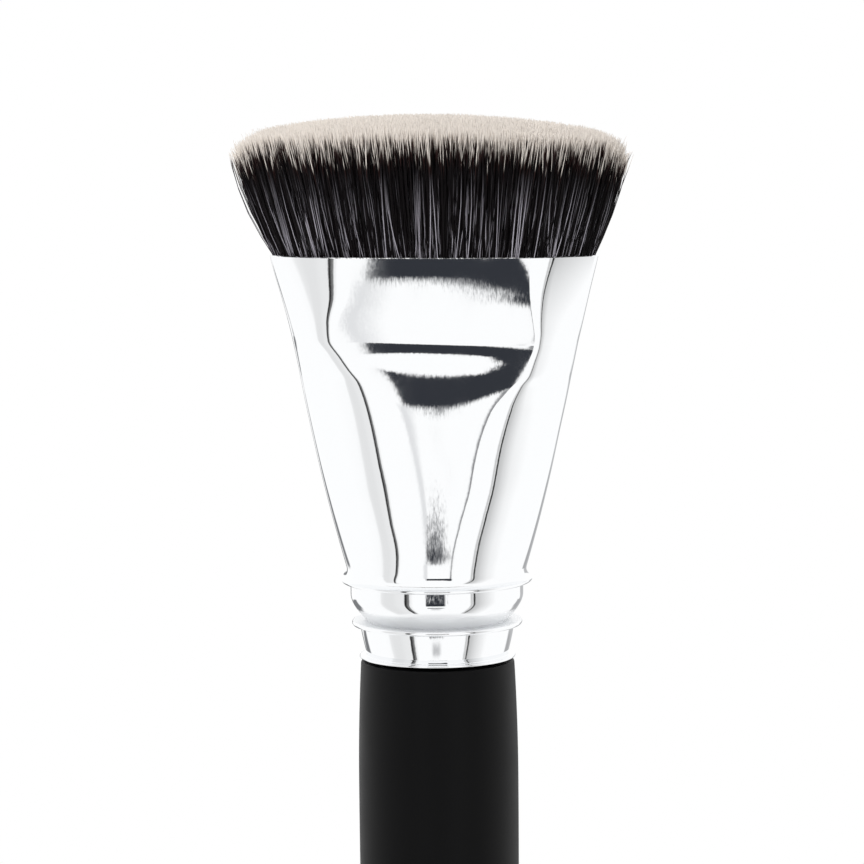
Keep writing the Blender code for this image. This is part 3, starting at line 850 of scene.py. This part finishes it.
def body_levels(fillet_share):
    """Levels of the body's rings, closest round the crease and in the fillet at its foot."""
    fillet = fillet_share * (1.0 - np.cos(np.linspace(0.0, math.pi / 2, FILLET_RINGS)))
    cone = (fillet_share, RING_RUNS[0][0], CONE_RINGS)
    runs = [np.linspace(*run) for run in (cone, *RING_RUNS)]
    return np.unique(np.concatenate([fillet, *runs]))


def ferrule_rings(shape):
    """Every ring of the ferrule's shell: up the outside, over the rim and down the inside."""
    sizes = shape.sizes
    rings = []
    for radius, height in round_profile(shape):
        rings.append(round_ring(radius, SHOULDER_HEIGHT + height))
    fillet = sizes.foot_fillet
    for level in body_levels(fillet / sizes.cone_height):
        rise = max(0.0, fillet - (float(shape.height(level)) - shape.foot))
        rings.append(shape.ring(level, fillet - math.sqrt(fillet**2 - rise**2)))
    edge = sizes.wall / 4
    for inset, drop in ((0.0, edge), (edge, 0.0), (sizes.wall - edge, 0.0), (sizes.wall, edge)):
        rings.append(shape.ring(2.0, -inset, drop))
    for level in np.linspace(*INSIDE_RUN):
        rings.append(shape.ring(level, -sizes.wall))
    for radius, height in bore_profile(shape):
        rings.append(round_ring(radius, SHOULDER_HEIGHT + height))
    return np.stack(rings)


def strand_mesh(columns, rows):
    """Loose three-sided strands over a grid, each corner marked with its strand and step."""
    bm = bmesh.new()
    bmesh.ops.create_grid(bm, x_segments=columns, y_segments=rows, size=0.5)
    bmesh.ops.triangulate(bm, faces=bm.faces[:], quad_method="ALTERNATE")
    bmesh.ops.split_edges(bm, edges=bm.edges[:])
    strand = bm.verts.layers.int.new("of_strand")
    step = bm.verts.layers.int.new("of_step")
    turn = bm.verts.layers.int.new("of_corner")
    roots = []
    for number, face in enumerate(bm.faces):
        roots.append(face.calc_center_median()[:2])
        for place_in_face, corner in enumerate(face.verts):
            corner[strand] = number
            corner[turn] = place_in_face
    faces = bm.faces[:]
    for number in range(1, len(STRAND_SHARES)):
        faces = bmesh.ops.extrude_discrete_faces(bm, faces=faces)["faces"]
        for face in faces:
            for corner in face.verts:
                corner[step] = number
    bmesh.ops.holes_fill(bm, edges=bm.edges[:], sides=3)
    return bm, np.array(roots)


def tip_places(tuft, shape, x, y, rng):
    """Where the strands that start at these places end."""
    sizes = shape.sizes
    reach = sizes.mouth_half_width - sizes.wall - sizes.seat_gap
    across = x / reach
    deep = y / (sizes.mouth_half_depth - sizes.wall - sizes.seat_gap)
    clump = [
        [noise.noise((a * CLUMP_SCALE, b * CLUMP_SCALE, layer)) for layer in CLUMP_LAYERS]
        for a, b in zip(x, y)
    ]
    wander = rng.normal(0.0, 1.0, (len(x), 2)) + np.array(clump)
    wander[rng.random(len(x)) < LOOSE_SHARE] *= LOOSE_WANDER
    tip_x = across * (sizes.mouth_half_width + tuft.splay) + wander[:, 0] * tuft.stray
    tip_x = np.clip(tip_x - tuft.sideways, -tuft.widest, tuft.widest)
    tip_y = deep * (sizes.mouth_half_depth + tuft.swell) + wander[:, 1] * tuft.stray
    fall = tuft.side_drop * across**2 + tuft.face_drop * deep**2
    fall += tuft.corner_drop * across**CORNER_POWER + tuft.tilt * across / 2.0
    height = SHOULDER_HEIGHT + shape.rim + tuft.reach - fall
    height -= tuft.scatter * np.abs(rng.normal(0.0, 0.7, len(x)))
    return np.stack([tip_x, tip_y, height], 1)


def taken_marks(mesh):
    """Each corner's strand, step and place round it, which are taken off the mesh."""
    marks = []
    for name in ("of_strand", "of_step", "of_corner"):
        values = np.zeros(len(mesh.vertices), np.int32)
        mesh.attributes[name].data.foreach_get("value", values)
        mesh.attributes.remove(mesh.attributes[name])
        marks.append(values)
    return marks


def fibre_bunch(number, shape, tuft, material):
    """One bunch of fibres, from just inside the mouth to its tips."""
    rng = np.random.default_rng(number)
    bm, roots = strand_mesh(tuft.columns, tuft.rows)
    root_height = SHOULDER_HEIGHT + shape.rim - tuft.root_drop
    level = 2.0 - tuft.root_drop / shape.sizes.band_height
    across, deep = shape.outline(level, RIGHT_SHARES, -shape.sizes.wall)
    across_left, deep_left = shape.outline(level, LEFT_SHARES, -shape.sizes.wall)
    reach = across[-1] - 2.0 * tuft.fibre_radius
    width = 2.0 * reach / tuft.bunches
    x = -reach + width * (number - 1 + roots[:, 0] + 0.5)
    x += rng.uniform(-0.5, 0.5, len(x)) * width / tuft.columns
    x = np.clip(x, -reach, reach)
    limit = np.interp(np.abs(x), across, deep)
    limit = np.minimum(limit, np.interp(np.abs(x), across_left, deep_left)) - tuft.fibre_radius
    y = 2.0 * (roots[:, 1] + rng.uniform(-0.4, 0.4, len(x)) / tuft.rows) * limit
    y = np.clip(y, -limit, limit)
    root = np.stack([x, y, np.full(len(x), root_height)], 1)
    tip = tip_places(tuft, shape, x, y, rng)
    bow = rng.normal(0.0, 0.5, (len(x), 2)) * tuft.bow
    turn = rng.uniform(0.0, math.tau, len(x))
    thick = tuft.fibre_radius * rng.uniform(0.75, 1.15, len(x))
    piece = place(f"fibre_bunch_{number}", bm, [material], FIBRE_SHARP_ANGLE)
    mesh = piece.data
    strand, step, corner = taken_marks(mesh)
    share = STRAND_SHARES[step]
    lean = 1.0 - (1.0 - share) ** tuft.lean_power
    middle = root[strand] + (tip[strand] - root[strand]) * np.stack([lean, lean, share], 1)
    middle[:, :2] += bow[strand] * np.sin(math.pi * share)[:, None]
    around = turn[strand] + corner * math.tau / 3.0
    radius = thick[strand] * THICKNESS_SHARES[step]
    middle[:, 0] += np.cos(around) * radius
    middle[:, 1] += np.sin(around) * radius
    mesh.vertices.foreach_set("co", middle.astype(np.float32).ravel())
    own = rng.random((len(x), 2))
    outward = np.maximum(np.abs(y) / limit, np.abs(x) / reach)
    # From 1 near the middle of the tuft to 0 in its outer fifth
    inner = np.clip(2.4 - 3.0 * outward, 0.0, 1.0)
    along = share + INNER_PALE_SHARE * inner[strand]
    values = np.stack([own[strand, 0], along, own[strand, 1]], 1)
    made = mesh.attributes.new("strand", "FLOAT_VECTOR", "POINT")
    made.data.foreach_set("vector", values.astype(np.float32).ravel())
    mesh.update()
    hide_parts(f"fibre_lock_{number}")
    return piece


def ferrule_shape():
    """The ferrule's outlines, from the sizes that are set."""
    return FerruleShape(settings().ferrule, settings().handle.top_radius)


class CONTOUR_OT_handle(Operator):
    """Turns the lacquered handle with its tenon"""

    bl_idname = "contour_brush.handle"
    bl_label = "Handle"

    def execute(self, context):
        sizes = settings().handle
        bm = bmesh.new()
        points = [bm.verts.new((radius, 0.0, height)) for radius, height in handle_profile(sizes)]
        edges = [bm.edges.new(pair) for pair in zip(points, points[1:])]
        bmesh.ops.spin(
            bm, geom=points + edges, axis=(0.0, 0.0, 1.0), cent=(0.0, 0.0, 0.0),
            steps=sizes.steps, angle=math.tau, use_merge=True,
        )
        bmesh.ops.remove_doubles(bm, verts=bm.verts[:], dist=MERGE_DISTANCE)
        bmesh.ops.recalc_face_normals(bm, faces=bm.faces[:])
        piece = place("handle_body", bm, [black_lacquer()])
        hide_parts("handle")
        return {"FINISHED"}


class CONTOUR_OT_ferrule(Operator):
    """Draws and presses the ferrule with its beads, cone, crease and mouth"""

    bl_idname = "contour_brush.ferrule"
    bl_label = "Ferrule"

    def execute(self, context):
        piece = wrapped("ferrule_shell", ferrule_rings(ferrule_shape()), polished_metal())
        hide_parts("ferrule")
        return {"FINISHED"}


class CONTOUR_OT_fibres(Operator):
    """Fills the mouth with bunches of two-tone fibres"""

    bl_idname = "contour_brush.fibres"
    bl_label = "Fibres"

    def execute(self, context):
        tuft = settings().tuft
        shape = ferrule_shape()
        material = two_tone_fibre()
        for number in range(1, tuft.bunches + 1):
            fibre_bunch(number, shape, tuft, material)
        return {"FINISHED"}


class CONTOUR_OT_glue(Operator):
    """Gives the glue round the tenon its finish"""

    bl_idname = "contour_brush.glue"
    bl_label = "Glue"

    def execute(self, context):
        material = clear_glue()
        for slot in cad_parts["tenon_glue"].material_slots:
            slot.material = material
        return {"FINISHED"}


class CONTOUR_OT_roots(Operator):
    """Casts the resin and winds the thread that hold the fibres in the ferrule"""

    bl_idname = "contour_brush.roots"
    bl_label = "Resin and Thread"

    def execute(self, context):
        roots = settings().roots
        shape = ferrule_shape()
        inside = -shape.sizes.wall - shape.sizes.seat_gap
        cone = shape.sizes.cone_height
        levels = 1.0 - np.linspace(roots.resin_foot, roots.resin_top, RESIN_RINGS) / cone
        rings = np.stack([shape.ring(level, inside) for level in levels])
        resin = wrapped("resin_block", rings, amber_resin(), capped=True)
        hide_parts("root_resin")
        drops = np.linspace(roots.binding_foot, roots.binding_top, BINDING_RINGS)
        levels = 1.0 - drops / cone
        rings = [shape.ring(level, inside) for level in levels]
        rings += [shape.ring(level, inside - roots.binding_thickness) for level in levels[::-1]]
        thread = wrapped("thread_winding", np.stack(rings), wound_thread())
        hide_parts("root_binding")
        return {"FINISHED"}


class CONTOUR_OT_stage(Operator):
    """Sets the floor, the white surroundings and the lamp"""

    bl_idname = "contour_brush.stage"
    bl_label = "Floor and Light"

    def execute(self, context):
        stage = settings().stage
        bm = bmesh.new()
        bmesh.ops.create_circle(bm, cap_ends=True, segments=96, radius=stage.floor_radius)
        mesh = bpy.data.meshes.new("floor")
        bm.to_mesh(mesh)
        bm.free()
        mesh.materials.append(pale_floor())
        linked("floor", mesh)
        light = bpy.data.lights.new("soft_lamp", "AREA")
        light.size = stage.lamp_size
        light.energy = stage.lamp_power
        lamp = linked("soft_lamp", light)
        middle = Vector((0.0, 0.0, SHOULDER_HEIGHT))
        towards = Vector(LAMP_SIDE).normalized()
        lamp.location = middle + towards * stage.lamp_distance
        lamp.rotation_euler = towards.to_track_quat("Z", "Y").to_euler()
        lamp.visible_glossy = False
        surroundings(context.scene)
        return {"FINISHED"}


# Tones of the studio's panels by direction, in degrees round from the front towards the right,
# and then those of the thin gaps between them
PANEL_TONES = (
    (-180.0, 1.0), (-88.0, 1.0), (-79.0, 0.98), (-76.0, 0.84), (-70.0, 0.78), (-58.0, 0.78),
    (-50.0, 0.82), (-41.0, 0.83), (-34.0, 1.0), (50.0, 1.0), (57.5, 0.56), (61.0, 0.58),
    (66.0, 0.68), (74.0, 0.8), (82.0, 0.9), (90.0, 1.0), (180.0, 1.0),
)
GAP_TONES = (
    (-180.0, 1.0), (-40.4, 1.0), (-40.0, 0.02), (-36.6, 0.02), (-36.3, 0.7), (-35.7, 0.7),
    (-35.4, 0.2), (-33.7, 0.2), (-33.3, 0.86), (-30.5, 0.9), (-28.5, 1.0),
    (50.3, 1.0), (50.7, 0.6), (52.3, 0.6), (52.7, 1.0), (53.7, 1.0), (54.0, 0.03), (56.8, 0.03),
    (57.1, 1.0), (180.0, 1.0),
)

# Darker cards: left and right edge, lower and upper edge, softness of these four, and tone
CARDS = (
    (-400.0, 400.0, -90.0, -62.0, (1.0, 1.0, 1.0, 10.0), 0.8),
    (-176.0, -160.0, -48.0, 1.0, (4.0, 2.0, 4.0, 2.0), 0.2),
    (-166.0, -137.0, -27.0, -13.5, (3.0, 3.0, 3.0, 1.0), 0.2),
    (152.0, 175.0, -48.0, 1.0, (1.0, 5.0, 4.0, 2.0), 0.5),
    (146.0, 166.0, -26.0, -14.5, (3.0, 3.0, 3.0, 1.0), 0.4),
    (-12.0, -9.6, -8.5, 2.0, (0.6, 1.6, 1.0, 1.0), 0.76),
    (17.6, 19.3, -8.5, 2.0, (0.5, 0.5, 1.0, 1.0), 0.25),
    (-4.0, 9.0, 1.4, 3.2, (3.0, 4.0, 1.1, 1.0), 0.5),
    (-10.7, 20.0, 2.2, 16.8, (0.8, 0.8, 1.4, 1.0), 0.035),
    (11.0, 20.0, 10.0, 18.6, (1.5, 0.8, 1.4, 0.8), 0.035),
    (15.0, 20.0, 10.0, 22.0, (1.5, 0.8, 1.4, 1.0), 0.035),
    (-10.5, 15.0, -14.5, -8.5, (0.8, 2.0, 1.5, 0.5), 0.03),
    (-9.0, 13.0, -27.5, -23.5, (0.8, 4.0, 0.8, 0.8), 0.03),
    (-4.0, 9.0, -37.0, -31.0, (3.0, 4.0, 2.0, 3.0), 0.55),
)
CARD_TINT = (-0.003, 0.0, 0.008)

# The panels' lower and upper edge: from and to where each fades
PANEL_FOOT = (-60.0, -52.0)
PANEL_HEAD = (50.0, 60.0)

# Strength of the surroundings for what shines, and their tone for what doesn't
SHINE_STRENGTH = 1.04
PLAIN_TONE = 0.8


def tone_ramp(kit, share, tones):
    """A grey tone for each direction."""
    ramp = kit.node("ShaderNodeValToRGB", {"Fac": share})
    stops = ramp.color_ramp.elements
    stops.remove(stops[-1])
    stops[0].position = 0.0
    stops[0].color = (tones[0][1], tones[0][1], tones[0][1], 1.0)
    for degrees, tone in tones[1:]:
        stop = stops.new(degrees / 360.0 + 0.5)
        stop.color = (tone, tone, tone, 1.0)
    return ramp.outputs["Color"]


def surroundings(scene):
    """White studio surroundings. What shines also sees the studio's panels and dark cards."""
    world = bpy.data.worlds.new("studio")
    scene.world = world
    world.use_nodes = True
    kit = NodeKit(world.node_tree)
    toward = kit.node("ShaderNodeTexCoord").outputs["Generated"]
    parts = kit.node("ShaderNodeSeparateXYZ", {"Vector": toward})
    ahead = kit.math("MULTIPLY", parts.outputs["Y"], -1.0)
    around = kit.math("ARCTAN2", parts.outputs["X"], ahead)
    degrees = kit.math("MULTIPLY", around, 180.0 / math.pi)
    rise = kit.math("MULTIPLY", kit.math("ARCSINE", parts.outputs["Z"]), 180.0 / math.pi)
    share = kit.math("ADD", kit.math("DIVIDE", degrees, 360.0), 0.5)
    tones = kit.mix(1.0, tone_ramp(kit, share, PANEL_TONES), tone_ramp(kit, share, GAP_TONES))
    tones.node.blend_type = "MULTIPLY"
    seen = kit.mix(kit.between(rise, PANEL_FOOT, PANEL_HEAD), (1.0, 1.0, 1.0), tones)
    for *edges, soft, tone in CARDS:
        left, right, under, over = ((at - fade, at + fade) for at, fade in zip(edges, soft))
        covered = kit.math(
            "MULTIPLY", kit.between(degrees, left, right), kit.between(rise, under, over)
        )
        seen = kit.mix(covered, seen, [tone + part for part in CARD_TINT])
    path = kit.node("ShaderNodeLightPath")
    shiny = kit.node("ShaderNodeBackground", {"Color": seen, "Strength": SHINE_STRENGTH})
    plain = kit.node("ShaderNodeBackground", {"Color": (PLAIN_TONE,) * 3, "Strength": 1.0})
    white = kit.node("ShaderNodeBackground", {"Color": (1.0, 1.0, 1.0), "Strength": 1.0})
    lit = kit.fade(path.outputs["Is Glossy Ray"], plain.outputs[0], shiny.outputs[0])
    direct = kit.math("MAXIMUM", path.outputs["Is Camera Ray"], path.outputs["Is Transmission Ray"])
    both = kit.fade(direct, lit, white.outputs[0])
    output = world.node_tree.nodes["World Output"]
    world.node_tree.links.new(both, output.inputs["Surface"])


class CONTOUR_OT_camera(Operator):
    """Stands the camera where the brush is seen from the front and a little above"""

    bl_idname = "contour_brush.camera"
    bl_label = "Camera"

    def execute(self, context):
        stage = settings().stage
        shoulder = Vector((0.0, 0.0, SHOULDER_HEIGHT))
        flat = math.cos(stage.elevation)
        towards = Vector((
            math.sin(stage.azimuth) * flat, -math.cos(stage.azimuth) * flat,
            math.sin(stage.elevation),
        ))
        stand = shoulder + towards * stage.distance
        right = Vector((math.cos(stage.azimuth), math.sin(stage.azimuth), 0.0))
        aim = shoulder + right * stage.aim_side + Vector((0.0, 0.0, stage.aim_height))
        data = bpy.data.cameras.new("camera")
        data.sensor_width = 36.0
        data.lens = stage.lens
        data.clip_start = 0.01
        data.clip_end = 20.0
        camera = linked("camera", data)
        turn = (stand - aim).to_track_quat("Z", "Y").to_matrix().to_4x4()
        roll = Matrix.Rotation(-stage.roll, 4, "Z")
        camera.matrix_world = Matrix.Translation(stand) @ turn @ roll
        context.scene.camera = camera
        context.scene.view_settings.view_transform = "Standard"
        return {"FINISHED"}


class CONTOUR_PT_panel(Panel):
    """Lists the brush's pieces and its stage"""

    bl_label = "Flat Contour Brush"
    bl_idname = "CONTOUR_PT_panel"
    bl_space_type = "VIEW_3D"
    bl_region_type = "UI"
    bl_category = "Brush"

    def draw(self, context):
        for operator in OPERATORS:
            self.layout.operator(operator.bl_idname)


OPERATORS = (
    CONTOUR_OT_stage,
    CONTOUR_OT_camera,
    CONTOUR_OT_handle,
    CONTOUR_OT_ferrule,
    CONTOUR_OT_glue,
    CONTOUR_OT_roots,
    CONTOUR_OT_fibres,
)
CLASSES = (
    HandleSizes, FerruleSizes, TuftSizes, RootSizes, Finishes, StageSizes, BrushSettings,
    *OPERATORS, CONTOUR_PT_panel,
)


def register():
    """Registers the classes and the settings."""
    for item in CLASSES:
        bpy.utils.register_class(item)
    bpy.types.Scene.contour_brush = PointerProperty(type=BrushSettings)


def unregister():
    """Removes the settings and the classes."""
    del bpy.types.Scene.contour_brush
    for item in reversed(CLASSES):
        bpy.utils.unregister_class(item)


def main():
    """Builds the brush and its stage."""
    register()
    bpy.ops.contour_brush.stage()
    bpy.ops.contour_brush.camera()
    bpy.ops.contour_brush.handle()
    bpy.ops.contour_brush.ferrule()
    bpy.ops.contour_brush.glue()
    bpy.ops.contour_brush.roots()
    bpy.ops.contour_brush.fibres()


if __name__ == "__main__":
    main()
